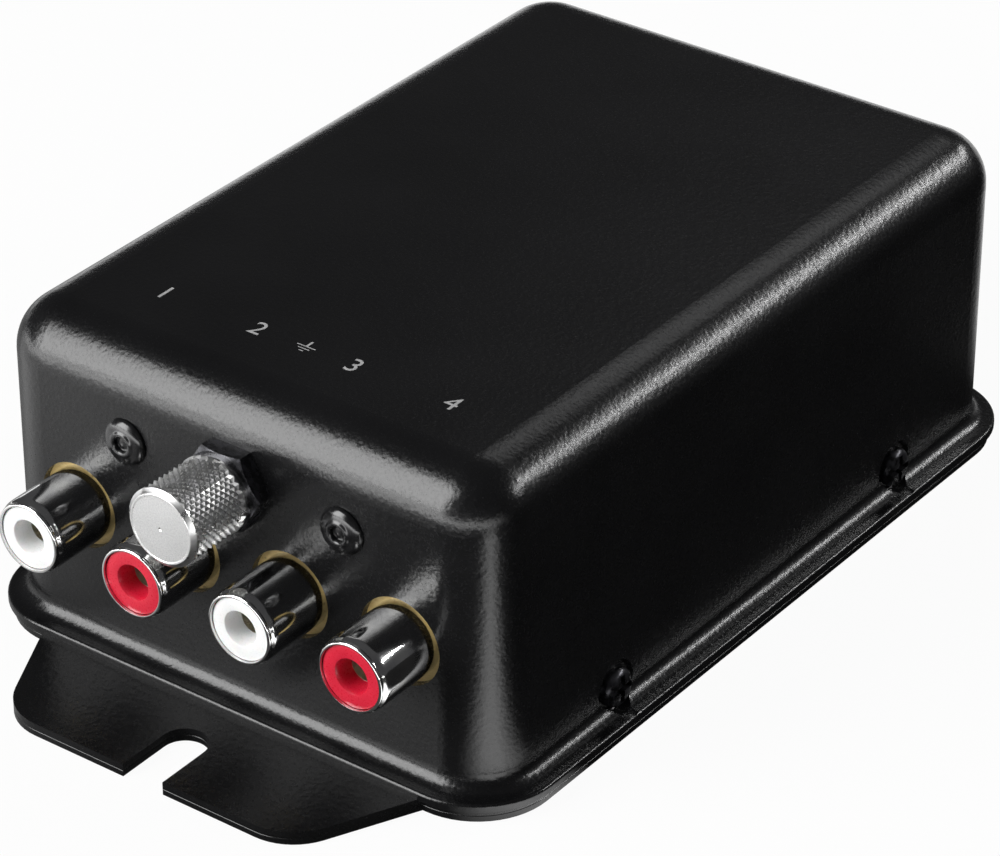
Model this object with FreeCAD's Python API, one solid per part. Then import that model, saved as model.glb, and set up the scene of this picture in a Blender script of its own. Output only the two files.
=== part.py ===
import FreeCAD, Part
import os
from FreeCAD import Vector

os.makedirs("parts", exist_ok=True)

# Drawn steel cover, millimetres, front of the case faces -Y
cover_width = 64.0
cover_depth = 95.0
top_height = 38.0
sheet = 0.9
corner_radius = 6.6
top_edge_radius = 6.0
lip_reach = 2.6
flare_radius = 1.8
lip_edge_round = 0.35

# Base plate with a slotted tab at each end
plate_thickness = 1.5
plate_inset = 0.6
tab_reach = 13.4
tab_root_width = 51.0
tab_front_width = 37.0
tab_corner_radius = 6.5
slot_width = 5.2
slot_depth = 9.0

# Side screws, their dished seats in the cover and their lugs on the plate
side_screw_end_margin = 21.2
side_screw_height = 4.9
side_screw_radius = 1.5
side_screw_length = 4.6
side_head_radius = 2.2
side_head_height = 1.2
seat_depth = 0.35
seat_floor_radius = 2.6
seat_rim_radius = 3.0
screw_hole_gap = 0.15
lug_thickness = 1.6
lug_width = 9.0
lug_top_margin = 2.8
lug_gap = 0.05
thread_gap = 0.02

# Phono sockets in a row along the front
jack_count = 4
jack_side_margin = 11.15
jacks_below_ground = 10.7
barrel_radius = 4.15
barrel_reach = 8.0
barrel_wall = 0.55
barrel_edge_round = 0.45
neck_radius = 2.9
neck_bore_radius = 2.2
stake_radius = 3.7
stake_thickness = 0.5
insulator_recess = 0.45
insulator_gap = 0.03
funnel_radius = 1.95
funnel_depth = 2.0
contact_outer_radius = 2.0
contact_bore_radius = 1.62
contact_sleeve_length = 5.1
contact_floor = 0.5
tail_radius = 0.7
tail_reach = 5.0
jack_hole_radius = 4.9
tag_thickness = 0.4
tag_width = 2.4
tag_length = 7.0
tag_ring_margin = 0.6

# Insulating boards that carry the sockets in pairs
jack_board_thickness = 1.6
jack_board_margin = 4.95
jack_board_half_height = 5.9
jack_board_ear_half_width = 4.6
board_seat_gap = 0.05
neck_gap = 0.05

# Blind rivets that hold the socket boards
rivets_below_ground = 0.5
rivet_radius = 1.5
rivet_head_radius = 2.6
rivet_head_height = 1.0
rivet_bore_radius = 0.85
rivet_bore_depth = 0.7
rivet_tail_radius = 2.1
rivet_tail_length = 2.2
rivet_gap = 0.1
rivet_edge_margin = 2.1

# Ground terminal between the two socket pairs
ground_top_margin = 9.8
stud_radius = 2.0
stud_reach = 9.0
stud_inner_length = 5.0
stud_hole_gap = 0.1
hex_flats = 8.5
hex_thickness = 2.0
inner_nut_flats = 7.0
inner_nut_thickness = 2.2
washer_radius = 3.9
washer_thickness = 0.6
washer_seat_gap = 0.02
thumb_radius = 4.35
thumb_length = 8.4
thumb_rim_radius = 3.85
thumb_rim_length = 0.5
thumb_bore_depth = 7.2
thumb_running_gap = 0.06
ground_tag_radius = 3.6
ground_tag_thickness = 0.5
ground_tag_side_gap = 0.5
ground_tag_drop = 9.0

# Circuit board on four pillars
pcb_side_margin = 5.5
pcb_depth = 62.0
pcb_centre_y = 3.0
pcb_thickness = 1.6
pillar_height = 5.0
pillar_radius = 2.5
pillar_inset = 3.6
pillar_end_inset = 8.0
pcb_screw_radius = 1.5
pcb_screw_length = 4.6
pcb_head_radius = 2.6
pcb_head_height = 1.5

# Parts soldered on the circuit board
chip_length = 9.4
chip_width = 6.4
chip_height = 3.3
chip_standoff = 0.7
chip_leg_width = 0.5
chip_leg_pitch = 2.54
chip_leg_row = 7.62
can_radius = 3.15
can_height = 11.0
can_spacing = 10.0
can_row_y = 18.0
film_length = 7.2
film_width = 3.0
film_height = 6.5
film_spacing = 11.0
film_row_y = -12.0
resistor_length = 6.3
resistor_radius = 1.15
resistor_lift = 0.5
lead_radius = 0.3
foot_width = 0.8
lead_span = 9.4
resistor_spacing = 5.0
resistor_row_y = 9.5
regulator_radius = 2.4
regulator_flat = 1.4
regulator_height = 4.8
regulator_lift = 2.0
regulator_leg_pitch = 1.27

# Power inlet in the rear wall
inlet_side_margin = 14.0
inlet_above_jacks = 1.0
inlet_flange_radius = 5.2
inlet_flange_thickness = 1.6
inlet_barrel_radius = 3.9
inlet_hole_gap = 0.1
inlet_barrel_length = 12.0
inlet_bore_radius = 2.9
inlet_bore_depth = 9.5
inlet_pin_radius = 1.05
inlet_pin_recess = 0.6
inlet_nut_flats = 10.0
inlet_nut_thickness = 2.0
inlet_terminal_spread = 3.2

# Wires from the sockets, the ground tag and the inlet to the board
wire_radius = 0.6
wire_bend = 4.0
signal_wire_inset = 3.0
power_wire_inset = 7.0

# How far a cutting shape runs past the face that it cuts
overcut = 1.0

# Planes and distances that follow from the sizes above
front_wall = -cover_depth / 2
rear_wall = cover_depth / 2
side_wall = cover_width / 2
ground_height = top_height - ground_top_margin
rivet_height = ground_height - rivets_below_ground
jack_height = ground_height - jacks_below_ground
jack_pitch = (cover_width - 2 * jack_side_margin) / (jack_count - 1)
jack_board_half_width = jack_pitch / 2 + jack_board_margin
ground_tag_width = jack_pitch - 2 * (jack_board_margin + ground_tag_side_gap)
inlet_x = inlet_side_margin - side_wall
inlet_height = jack_height + inlet_above_jacks
inner_front = front_wall + sheet
plate_top = plate_thickness
lip_top = plate_top + sheet
plate_half_width = side_wall + lip_reach - plate_inset
plate_half_depth = rear_wall + lip_reach - plate_inset
board_front = inner_front + board_seat_gap
board_back = board_front + jack_board_thickness
tag_back = board_back + tag_thickness
barrel_front = front_wall - barrel_reach
pcb_bottom = plate_top + pillar_height
pcb_top = pcb_bottom + pcb_thickness
pcb_front = pcb_centre_y - pcb_depth / 2
pcb_rear = pcb_centre_y + pcb_depth / 2
pcb_width = cover_width - 2 * pcb_side_margin
head_seat = side_wall - seat_depth
lug_outer = head_seat - sheet - lug_gap
jack_xs = [(index - (jack_count - 1) / 2) * jack_pitch for index in range(jack_count)]
pair_x = (jack_xs[-1] + jack_xs[-2]) / 2
hex_face = front_wall - hex_thickness
washer_back = hex_face - washer_seat_gap
washer_face = washer_back - washer_thickness
thumb_back = washer_face - washer_seat_gap
thumb_face = thumb_back - thumb_length
tail_end = board_back + tail_reach

# Directions
to_front = Vector(0, -1, 0)
to_rear = Vector(0, 1, 0)
upward = Vector(0, 0, 1)


def aimed(shape, position, direction):
    """Move a shape built along Z so that it starts at a position and points a given way."""
    shape.Placement = FreeCAD.Placement(position, FreeCAD.Rotation(upward, direction))
    return shape


def rod(radius, length, position, direction):
    """Solid cylinder from a position along a direction."""
    return Part.makeCylinder(radius, length, position, direction)


def turned(profile, position, direction):
    """Solid of revolution from (radius, height) points."""
    points = [Vector(radius, 0, height) for radius, height in profile]
    face = Part.Face(Part.makePolygon(points + [points[0]]))
    return aimed(face.revolve(Vector(0, 0, 0), upward, 360), position, direction)


def hexagon(across_flats, thickness, position, direction, bore):
    """Hexagonal nut with a plain bore and lightly turned corners."""
    corner = across_flats / 3 ** 0.5
    spin = FreeCAD.Rotation(upward, 60)
    points = [Vector(corner, 0, 0)]
    for side in range(6):
        points.append(spin.multVec(points[-1]))
    body = Part.Face(Part.makePolygon(points)).extrude(Vector(0, 0, thickness))
    chamfer = corner - across_flats / 2
    rounding = turned([(0, 0), (corner, 0), (corner, thickness - chamfer * 0.6),
                       (across_flats / 2, thickness), (0, thickness)], Vector(0, 0, 0), upward)
    body = body.common(rounding)
    body = body.cut(Part.makeCylinder(bore, thickness))
    return aimed(body, position, direction)


def block(width, depth, height, centre_x, centre_y, bottom):
    """Box centred in X and Y that stands on a given height."""
    corner = Vector(centre_x - width / 2, centre_y - depth / 2, bottom)
    return Part.makeBox(width, depth, height, corner)


def upright_edges(shape):
    """Edges of a shape that run along Z."""
    found = []
    for edge in shape.Edges:
        box = edge.BoundBox
        if box.XLength < 1e-4 and box.YLength < 1e-4:
            found.append(edge)
    return found


def level_edges(shape, height, half_x, half_y):
    """Edges of a shape that lie flat at a height, inside a centred rectangle."""
    found = []
    for edge in shape.Edges:
        box = edge.BoundBox
        level = abs(box.ZMin - height) < 1e-4 and abs(box.ZMax - height) < 1e-4
        within = max(-box.XMin, box.XMax) < half_x and max(-box.YMin, box.YMax) < half_y
        if level and within:
            found.append(edge)
    return found


def rounded_block(width, depth, radius, bottom, top):
    """Block with rounded upright corners."""
    body = block(width, depth, top - bottom, 0, 0, bottom)
    return body.makeFillet(radius, upright_edges(body))


def drawn_form(inset, foot_bottom, foot_top):
    """Domed box with a flared foot, drawn in from the outer surface by an inset."""
    width = cover_width - 2 * inset
    depth = cover_depth - 2 * inset
    top = top_height - inset
    body = rounded_block(width, depth, corner_radius - inset, foot_bottom, top)
    body = body.makeFillet(top_edge_radius - inset, level_edges(body, top, width, depth))
    foot_width = cover_width + 2 * lip_reach
    foot_depth = cover_depth + 2 * lip_reach
    foot = rounded_block(foot_width, foot_depth, corner_radius + lip_reach, foot_bottom, foot_top)
    body = body.fuse(foot).removeSplitter()
    joint = level_edges(body, foot_top, width / 2 + 0.01, depth / 2 + 0.01)
    return body.makeFillet(flare_radius + inset, joint)


def cross_recess(radius, depth, head_top):
    """Tapered cross for a screwdriver, cut down from a head's top."""
    arm = block(radius * 1.5, radius * 0.32, depth, 0, 0, head_top - depth)
    other = block(radius * 0.32, radius * 1.5, depth, 0, 0, head_top - depth)
    return arm.fuse(other)


def pan_screw(radius, length, head_radius, head_height, position, direction):
    """Pan-head screw whose head stands out along the direction from its seat."""
    head = Part.makeCylinder(head_radius, head_height)
    top_rim = level_edges(head, head_height, head_radius * 2, head_radius * 2)
    head = head.makeFillet(head_height * 0.7, top_rim)
    head = head.cut(cross_recess(head_radius, head_height * 0.6, head_height))
    shank = Part.makeCylinder(radius, length, Vector(0, 0, -length))
    return aimed(head.fuse(shank), position, direction)


def side_screw_places():
    """Side of the case and Y of each side screw."""
    places = []
    for side in (-1, 1):
        for end in (-1, 1):
            places.append((side, end * (rear_wall - side_screw_end_margin)))
    return places


def make_cover():
    """Deep drawn cover with its holes and dished screw seats."""
    outer = drawn_form(0, plate_top, lip_top)
    lip_half_x = side_wall + lip_reach + 0.01
    lip_half_y = rear_wall + lip_reach + 0.01
    rim = []
    for edge in level_edges(outer, lip_top, lip_half_x, lip_half_y):
        box = edge.BoundBox
        outside = max(abs(box.XMin), abs(box.XMax)) > lip_half_x - corner_radius * 0.2
        outside = outside or max(abs(box.YMin), abs(box.YMax)) > lip_half_y - corner_radius * 0.2
        if outside:
            rim.append(edge)
    outer = outer.makeFillet(lip_edge_round, rim)
    inner = drawn_form(sheet, plate_top - overcut, plate_top)
    for side, y in side_screw_places():
        outward = Vector(side, 0, 0)
        floor = Vector(side * head_seat, y, side_screw_height)
        pocket_length = lip_reach + seat_depth + overcut
        outer = outer.cut(rod(seat_floor_radius, pocket_length, floor, outward))
        dish = Part.makeCone(seat_floor_radius, seat_rim_radius, seat_depth, floor, outward)
        outer = outer.cut(dish)
        back = Vector(side * (head_seat - sheet), y, side_screw_height)
        backing_length = lip_reach + seat_depth + sheet
        inner = inner.cut(rod(seat_rim_radius + sheet, backing_length, back, outward))
    body = outer.cut(inner)
    hole_reach = sheet + 2 * overcut
    for x in jack_xs:
        start = Vector(x, front_wall - overcut, jack_height)
        body = body.cut(rod(jack_hole_radius, hole_reach, start, to_rear))
    for side in (-1, 1):
        start = Vector(side * pair_x, front_wall - overcut, rivet_height)
        body = body.cut(rod(rivet_radius + rivet_gap, hole_reach, start, to_rear))
    start = Vector(0, front_wall - overcut, ground_height)
    body = body.cut(rod(stud_radius + stud_hole_gap, hole_reach, start, to_rear))
    start = Vector(inlet_x, rear_wall + overcut, inlet_height)
    body = body.cut(rod(inlet_barrel_radius + inlet_hole_gap, hole_reach, start, to_front))
    for side, y in side_screw_places():
        start = Vector(side * (head_seat - sheet - overcut), y, side_screw_height)
        body = body.cut(rod(side_screw_radius + screw_hole_gap, hole_reach, start, Vector(side, 0, 0)))
    floor_cut = block(cover_width * 2, cover_depth * 2, plate_top + overcut, 0, 0, -overcut)
    return body.cut(floor_cut)


def tab_outline(end):
    """Tapered tab at one end of the plate, with an open slot in its middle."""
    root_y = end * (plate_half_depth - overcut)
    tip_y = end * (plate_half_depth + tab_reach)
    points = [Vector(-tab_root_width / 2, root_y, 0), Vector(-tab_front_width / 2, tip_y, 0),
              Vector(tab_front_width / 2, tip_y, 0), Vector(tab_root_width / 2, root_y, 0)]
    face = Part.Face(Part.makePolygon(points + [points[0]]))
    tab = face.extrude(Vector(0, 0, plate_thickness))
    corners = []
    for edge in upright_edges(tab):
        if abs(edge.BoundBox.YMax - tip_y) < 1e-3:
            corners.append(edge)
    tab = tab.makeFillet(tab_corner_radius, corners)
    slot_end = tip_y - end * (slot_depth - slot_width / 2)
    slot_height = plate_thickness + 2 * overcut
    slot = block(slot_width, slot_depth, slot_height, 0, slot_end + end * slot_depth / 2, -overcut)
    slot = slot.fuse(rod(slot_width / 2, slot_height, Vector(0, slot_end, -overcut), upward))
    return tab.cut(slot)


def make_base_plate():
    """Plate with both tabs and four upturned lugs for the side screws."""
    body = rounded_block(plate_half_width * 2, plate_half_depth * 2,
                         corner_radius + lip_reach - plate_inset, 0, plate_thickness)
    for end in (-1, 1):
        body = body.fuse(tab_outline(end))
    for side, y in side_screw_places():
        lug_height = side_screw_height + lug_top_margin - plate_top + plate_thickness
        centre_x = side * (lug_outer - lug_thickness / 2)
        lug = block(lug_thickness, lug_width, lug_height, centre_x, y, 0)
        top = []
        for edge in lug.Edges:
            box = edge.BoundBox
            if box.ZMin > 1 and box.YLength < 1e-4:
                top.append(edge)
        lug = lug.makeFillet(lug_top_margin * 0.8, top)
        start = Vector(centre_x - side * lug_thickness, y, side_screw_height)
        thread = rod(side_screw_radius + thread_gap, lug_thickness * 2, start, Vector(side, 0, 0))
        body = body.fuse(lug.cut(thread))
    return body.removeSplitter()


def make_side_screws():
    """Four pan-head screws through the cover into the lugs."""
    screws = []
    for side, y in side_screw_places():
        seat = Vector(side * (head_seat + washer_seat_gap), y, side_screw_height)
        screws.append(pan_screw(side_screw_radius, side_screw_length, side_head_radius,
                                side_head_height, seat, Vector(side, 0, 0)))
    return Part.makeCompound(screws)


def make_jack_board(side):
    """Insulating board behind two sockets, with an ear for its rivet."""
    centre = side * pair_x
    ear_top = rivet_height + rivet_radius + rivet_edge_margin
    low = jack_height - jack_board_half_height
    body = block(jack_board_half_width * 2, jack_board_thickness, jack_board_half_height * 2,
                 centre, board_front + jack_board_thickness / 2, low)
    ear = block(jack_board_ear_half_width * 2, jack_board_thickness, ear_top - low,
                centre, board_front + jack_board_thickness / 2, low)
    body = body.fuse(ear).removeSplitter()
    hole_reach = jack_board_thickness + 2 * overcut
    for offset in (-jack_pitch / 2, jack_pitch / 2):
        start = Vector(centre + offset, board_front - overcut, jack_height)
        body = body.cut(rod(neck_radius + neck_gap, hole_reach, start, to_rear))
    start = Vector(centre, board_front - overcut, rivet_height)
    return body.cut(rod(rivet_radius + rivet_gap, hole_reach, start, to_rear))


def make_rivet(side):
    """Blind rivet with a hollow domed head and a swelled tail behind the board."""
    head = Part.makeCylinder(rivet_head_radius, rivet_head_height)
    top_rim = level_edges(head, rivet_head_height, rivet_head_radius * 2, rivet_head_radius * 2)
    head = head.makeFillet(rivet_head_height * 0.75, top_rim)
    bore_start = Vector(0, 0, rivet_head_height - rivet_bore_depth)
    head = head.cut(Part.makeCylinder(rivet_bore_radius, rivet_bore_depth, bore_start))
    grip = board_back - front_wall
    shank = Part.makeCylinder(rivet_radius, grip, Vector(0, 0, -grip))
    tail = turned([(0, 0), (rivet_tail_radius, 0), (rivet_tail_radius, rivet_tail_length * 0.6),
                   (rivet_radius * 0.8, rivet_tail_length), (0, rivet_tail_length)],
                  Vector(0, 0, -grip), Vector(0, 0, -1))
    body = head.fuse([shank, tail]).removeSplitter()
    return aimed(body, Vector(side * pair_x, front_wall, rivet_height), to_front)


def make_jack_shell(x):
    """Plated socket barrel, seated on its board and staked behind the tag."""
    seat = board_front - barrel_front
    neck_end = tag_back - barrel_front
    bore = barrel_radius - barrel_wall
    profile = [(bore, 0), (barrel_radius, 0), (barrel_radius, seat), (neck_radius, seat),
               (neck_radius, neck_end), (stake_radius, neck_end),
               (stake_radius, neck_end + stake_thickness),
               (neck_bore_radius, neck_end + stake_thickness), (neck_bore_radius, seat - barrel_wall),
               (bore, seat - barrel_wall)]
    body = turned(profile, Vector(0, 0, 0), upward)
    front_rim = []
    for edge in body.Edges:
        box = edge.BoundBox
        if abs(box.ZMax) < 1e-4 and box.XMax > barrel_radius - 1e-3:
            front_rim.append(edge)
    body = body.makeFillet(barrel_edge_round, front_rim)
    return aimed(body, Vector(x, barrel_front, jack_height), to_rear)


def make_jack_insulator(x):
    """Coloured insulator inside a barrel, funnelled towards the contact."""
    bore = barrel_radius - barrel_wall - insulator_gap
    neck = neck_bore_radius - insulator_gap
    start = insulator_recess
    step = board_front - barrel_front - barrel_wall - insulator_gap
    end = tag_back - barrel_front + stake_thickness
    sleeve = contact_outer_radius + insulator_gap
    tail = tail_radius + insulator_gap
    sleeve_start = start + funnel_depth
    sleeve_end = sleeve_start + contact_sleeve_length
    profile = [(funnel_radius, start), (bore, start), (bore, step), (neck, step), (neck, end),
               (tail, end), (tail, sleeve_end), (sleeve, sleeve_end), (sleeve, sleeve_start),
               (contact_bore_radius, sleeve_start)]
    return turned(profile, Vector(x, barrel_front, jack_height), to_rear)


def make_jack_contact(x):
    """Centre contact sleeve with a solder tail."""
    sleeve_start = insulator_recess + funnel_depth + insulator_gap
    sleeve_end = sleeve_start + contact_sleeve_length - 2 * insulator_gap
    end = tail_end - barrel_front
    profile = [(contact_bore_radius, sleeve_start), (contact_outer_radius, sleeve_start),
               (contact_outer_radius, sleeve_end), (tail_radius, sleeve_end), (tail_radius, end),
               (0, end), (0, sleeve_end - contact_floor),
               (contact_bore_radius, sleeve_end - contact_floor)]
    return turned(profile, Vector(x, barrel_front, jack_height), to_rear)


def make_jack_tag(x):
    """Earth tag of a socket: a ring under the stake with a tail that points down."""
    start = Vector(x, board_back, jack_height)
    ring = rod(stake_radius + tag_ring_margin, tag_thickness, start, to_rear)
    tail = block(tag_width, tag_thickness, tag_length, x, board_back + tag_thickness / 2,
                 jack_height - tag_length)
    hole = rod(neck_radius + neck_gap, tag_thickness, start, to_rear)
    return ring.fuse(tail).removeSplitter().cut(hole)


def make_ground_stud():
    """Ground stud through the front wall, with a chamfered end."""
    length = stud_reach + sheet + stud_inner_length
    lead = stud_radius * 0.25
    profile = [(0, 0), (stud_radius - lead, 0), (stud_radius, lead), (stud_radius, length - lead),
               (stud_radius - lead, length), (0, length)]
    return turned(profile, Vector(0, front_wall - stud_reach, ground_height), to_rear)


def make_ground_tag():
    """Solder tag of the ground stud, with a tail that hangs between the socket boards."""
    start = Vector(0, inner_front, ground_height)
    ring = rod(ground_tag_radius, ground_tag_thickness, start, to_rear)
    tail = block(ground_tag_width, ground_tag_thickness, ground_tag_drop, 0,
                 inner_front + ground_tag_thickness / 2, ground_height - ground_tag_drop)
    hole = rod(stud_radius + thread_gap, ground_tag_thickness, start, to_rear)
    return ring.fuse(tail).removeSplitter().cut(hole)


def make_washer():
    """Loose washer that clamps the turntable's earth wire."""
    outer = rod(washer_radius, washer_thickness, Vector(0, washer_back, ground_height), to_front)
    bore = rod(stud_radius + thumb_running_gap, washer_thickness,
               Vector(0, washer_back, ground_height), to_front)
    return outer.cut(bore)


def make_thumb_nut():
    """Knurled thumb nut with a blind thread and a smooth rim round its face."""
    bore = stud_radius + thumb_running_gap
    profile = [(bore, 0), (thumb_rim_radius, 0), (thumb_radius, thumb_radius - thumb_rim_radius),
               (thumb_radius, thumb_length - thumb_rim_length),
               (thumb_rim_radius, thumb_length), (0, thumb_length), (0, thumb_bore_depth),
               (bore, thumb_bore_depth)]
    return turned(profile, Vector(0, thumb_back, ground_height), to_front)


def pillar_places():
    """Centres of the pillars under the circuit board."""
    places = []
    for side in (-1, 1):
        for end in (-1, 1):
            x = side * (pcb_width / 2 - pillar_inset)
            y = pcb_centre_y + end * (pcb_depth / 2 - pillar_end_inset)
            places.append((x, y))
    return places


def make_circuit_board():
    """Circuit board with its four fixing holes."""
    body = block(pcb_width, pcb_depth, pcb_thickness, 0, pcb_centre_y, pcb_bottom)
    for x, y in pillar_places():
        start = Vector(x, y, pcb_bottom - overcut)
        reach = pcb_thickness + 2 * overcut
        body = body.cut(rod(pcb_screw_radius + screw_hole_gap, reach, start, upward))
    return body


def make_pillars():
    """Four threaded pillars that stand on the plate."""
    pillars = []
    for x, y in pillar_places():
        base = Vector(x, y, plate_top)
        pillar = rod(pillar_radius, pillar_height, base, upward)
        pillars.append(pillar.cut(rod(pcb_screw_radius + thread_gap, pillar_height, base, upward)))
    return Part.makeCompound(pillars)


def make_pcb_screws():
    """Four screws that hold the circuit board down."""
    screws = []
    for x, y in pillar_places():
        screws.append(pan_screw(pcb_screw_radius, pcb_screw_length, pcb_head_radius,
                                pcb_head_height, Vector(x, y, pcb_top), upward))
    return Part.makeCompound(screws)


def make_chip():
    """Eight-legged amplifier chip."""
    body = block(chip_length, chip_width, chip_height, 0, 0, pcb_top + chip_standoff)
    leg_top = pcb_top + chip_standoff + chip_height / 2
    for side in (-1, 1):
        for index in range(4):
            x = (index - 1.5) * chip_leg_pitch
            row = side * chip_leg_row / 2
            leg = block(chip_leg_width, chip_leg_width, leg_top - pcb_top, x, row, pcb_top)
            reach = chip_leg_row / 2 + chip_leg_width / 2 - chip_width / 2
            middle = side * (chip_width / 2 + reach / 2)
            shoulder = block(chip_leg_width, reach, chip_leg_width, x, middle,
                             leg_top - chip_leg_width)
            body = body.fuse([leg, shoulder])
    return body.removeSplitter()


def make_can(index):
    """Electrolytic capacitor, one of a row."""
    x = (index - 1.5) * can_spacing
    body = rod(can_radius, can_height, Vector(x, can_row_y, pcb_top), upward)
    top = level_edges(body, pcb_top + can_height, 1e3, 1e3)
    return body.makeFillet(can_radius * 0.15, top)


def make_film(index):
    """Film capacitor, one of a row."""
    x = (index - 1.5) * film_spacing
    body = block(film_width, film_length, film_height, x, film_row_y, pcb_top)
    return body.makeFillet(film_width * 0.12, upright_edges(body))


def make_resistor(index):
    """Axial resistor whose leads bend down to the board."""
    x = (index - 2.5) * resistor_spacing
    height = pcb_top + resistor_lift + resistor_radius
    start = Vector(x, resistor_row_y - resistor_length / 2, height)
    body = rod(resistor_radius, resistor_length, start, to_rear)
    body = body.makeFillet(resistor_radius * 0.4, [edge for edge in body.Edges if edge.Closed])
    lead_start = Vector(x, resistor_row_y - lead_span / 2, height)
    lead = rod(lead_radius, lead_span, lead_start, to_rear)
    body = body.fuse(lead)
    for end in (-1, 1):
        foot_y = resistor_row_y + end * lead_span / 2
        foot = block(foot_width, foot_width, height + foot_width / 2 - pcb_top, x, foot_y, pcb_top)
        body = body.fuse(foot)
    return body.removeSplitter()


def make_regulator():
    """Three-legged voltage regulator with a flat face."""
    x = inlet_x + can_spacing
    y = can_row_y + can_spacing
    bottom = pcb_top + regulator_lift
    body = rod(regulator_radius, regulator_height, Vector(x, y, bottom), upward)
    flat = block(regulator_radius * 2, regulator_radius, regulator_height, x,
                 y + regulator_flat + regulator_radius / 2, bottom)
    body = body.cut(flat)
    for index in (-1, 0, 1):
        leg = block(chip_leg_width, chip_leg_width, regulator_lift, x + index * regulator_leg_pitch, y, pcb_top)
        body = body.fuse(leg)
    return body.removeSplitter()


def make_inlet_housing():
    """Power inlet: flange outside, threaded barrel through the rear wall."""
    length = inlet_flange_thickness + inlet_barrel_length
    profile = [(inlet_bore_radius, 0), (inlet_flange_radius, 0),
               (inlet_flange_radius, inlet_flange_thickness),
               (inlet_barrel_radius, inlet_flange_thickness), (inlet_barrel_radius, length),
               (0, length), (0, inlet_bore_depth), (inlet_bore_radius, inlet_bore_depth)]
    start = Vector(inlet_x, rear_wall + inlet_flange_thickness, inlet_height)
    return turned(profile, start, to_front)


def make_inlet_pin():
    """Centre pin of the power inlet with a rounded tip."""
    length = inlet_bore_depth - inlet_pin_recess
    body = Part.makeCylinder(inlet_pin_radius, length)
    tip = level_edges(body, length, 1e3, 1e3)
    body = body.makeFillet(inlet_pin_radius * 0.6, tip)
    start = Vector(inlet_x, rear_wall + inlet_flange_thickness - inlet_bore_depth, inlet_height)
    return aimed(body, start, to_rear)


def bent_wire(start, corner, end):
    """Round wire that turns once, with an even bend."""
    first = (start - corner).normalize()
    last = (end - corner).normalize()
    begin = corner + first * wire_bend
    finish = corner + last * wire_bend
    middle = corner + (first + last) * wire_bend * (1 - 0.5 ** 0.5)
    path = Part.Wire([Part.LineSegment(start, begin).toShape(),
                      Part.Arc(begin, middle, finish).toShape(),
                      Part.LineSegment(finish, end).toShape()])
    section = Part.Wire([Part.makeCircle(wire_radius, start, corner - start)])
    return path.makePipeShell([section], True, False)


def make_signal_wire(x):
    """Wire from a socket's solder tail down to the circuit board."""
    drop_y = pcb_front + signal_wire_inset
    return bent_wire(Vector(x, tail_end, jack_height), Vector(x, drop_y, jack_height),
                     Vector(x, drop_y, pcb_top))


def make_ground_wire():
    """Wire from the ground tag down to the circuit board."""
    drop_y = pcb_front + signal_wire_inset
    height = ground_height - ground_tag_drop + wire_radius * 2
    return bent_wire(Vector(0, inner_front + ground_tag_thickness, height),
                     Vector(0, drop_y, height), Vector(0, drop_y, pcb_top))


def make_power_wire(side):
    """Wire from the power inlet's back down to the circuit board."""
    x = inlet_x + side * inlet_terminal_spread / 2
    start_y = rear_wall - inlet_barrel_length
    drop_y = pcb_rear - power_wire_inset
    return bent_wire(Vector(x, start_y, inlet_height), Vector(x, drop_y, inlet_height),
                     Vector(x, drop_y, pcb_top))


def save(name, shape):
    """Write one named piece."""
    shape.exportStep("parts/" + name + ".step")


save("cover", make_cover())
save("base_plate", make_base_plate())
save("side_screws", make_side_screws())
save("board_rivets", Part.makeCompound([make_rivet(-1), make_rivet(1)]))
save("jack_board_left", make_jack_board(-1))
save("jack_board_right", make_jack_board(1))
for number, jack_x in enumerate(jack_xs, start=1):
    save("jack_shell_%d" % number, make_jack_shell(jack_x))
    save("jack_insulator_%d" % number, make_jack_insulator(jack_x))
    save("jack_contact_%d" % number, make_jack_contact(jack_x))
    save("jack_tag_%d" % number, make_jack_tag(jack_x))
    save("signal_wire_%d" % number, make_signal_wire(jack_x))
save("ground_stud", make_ground_stud())
save("ground_hex_nut", hexagon(hex_flats, hex_thickness, Vector(0, front_wall, ground_height),
                               to_front, stud_radius + thread_gap))
save("ground_tag", make_ground_tag())
save("ground_inner_nut", hexagon(inner_nut_flats, inner_nut_thickness,
                                 Vector(0, inner_front + ground_tag_thickness, ground_height),
                                 to_rear, stud_radius + thread_gap))
save("clamp_washer", make_washer())
save("thumb_nut", make_thumb_nut())
save("ground_wire", make_ground_wire())
save("circuit_board", make_circuit_board())
save("board_pillars", make_pillars())
save("board_screws", make_pcb_screws())
save("amplifier_chip", make_chip())
for number in range(4):
    save("electrolytic_%d" % (number + 1), make_can(number))
    save("film_capacitor_%d" % (number + 1), make_film(number))
for number in range(6):
    save("resistor_%d" % (number + 1), make_resistor(number))
save("regulator", make_regulator())
save("inlet_housing", make_inlet_housing())
save("inlet_pin", make_inlet_pin())
save("inlet_nut", hexagon(inlet_nut_flats, inlet_nut_thickness,
                          Vector(inlet_x, rear_wall - sheet, inlet_height), to_front,
                          inlet_barrel_radius + thread_gap))
save("power_wire_left", make_power_wire(-1))
save("power_wire_right", make_power_wire(1))
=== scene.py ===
import math

import bmesh
import bpy
from bpy.props import FloatProperty, FloatVectorProperty, IntProperty, PointerProperty, StringProperty
from mathutils import Matrix, Vector


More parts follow.
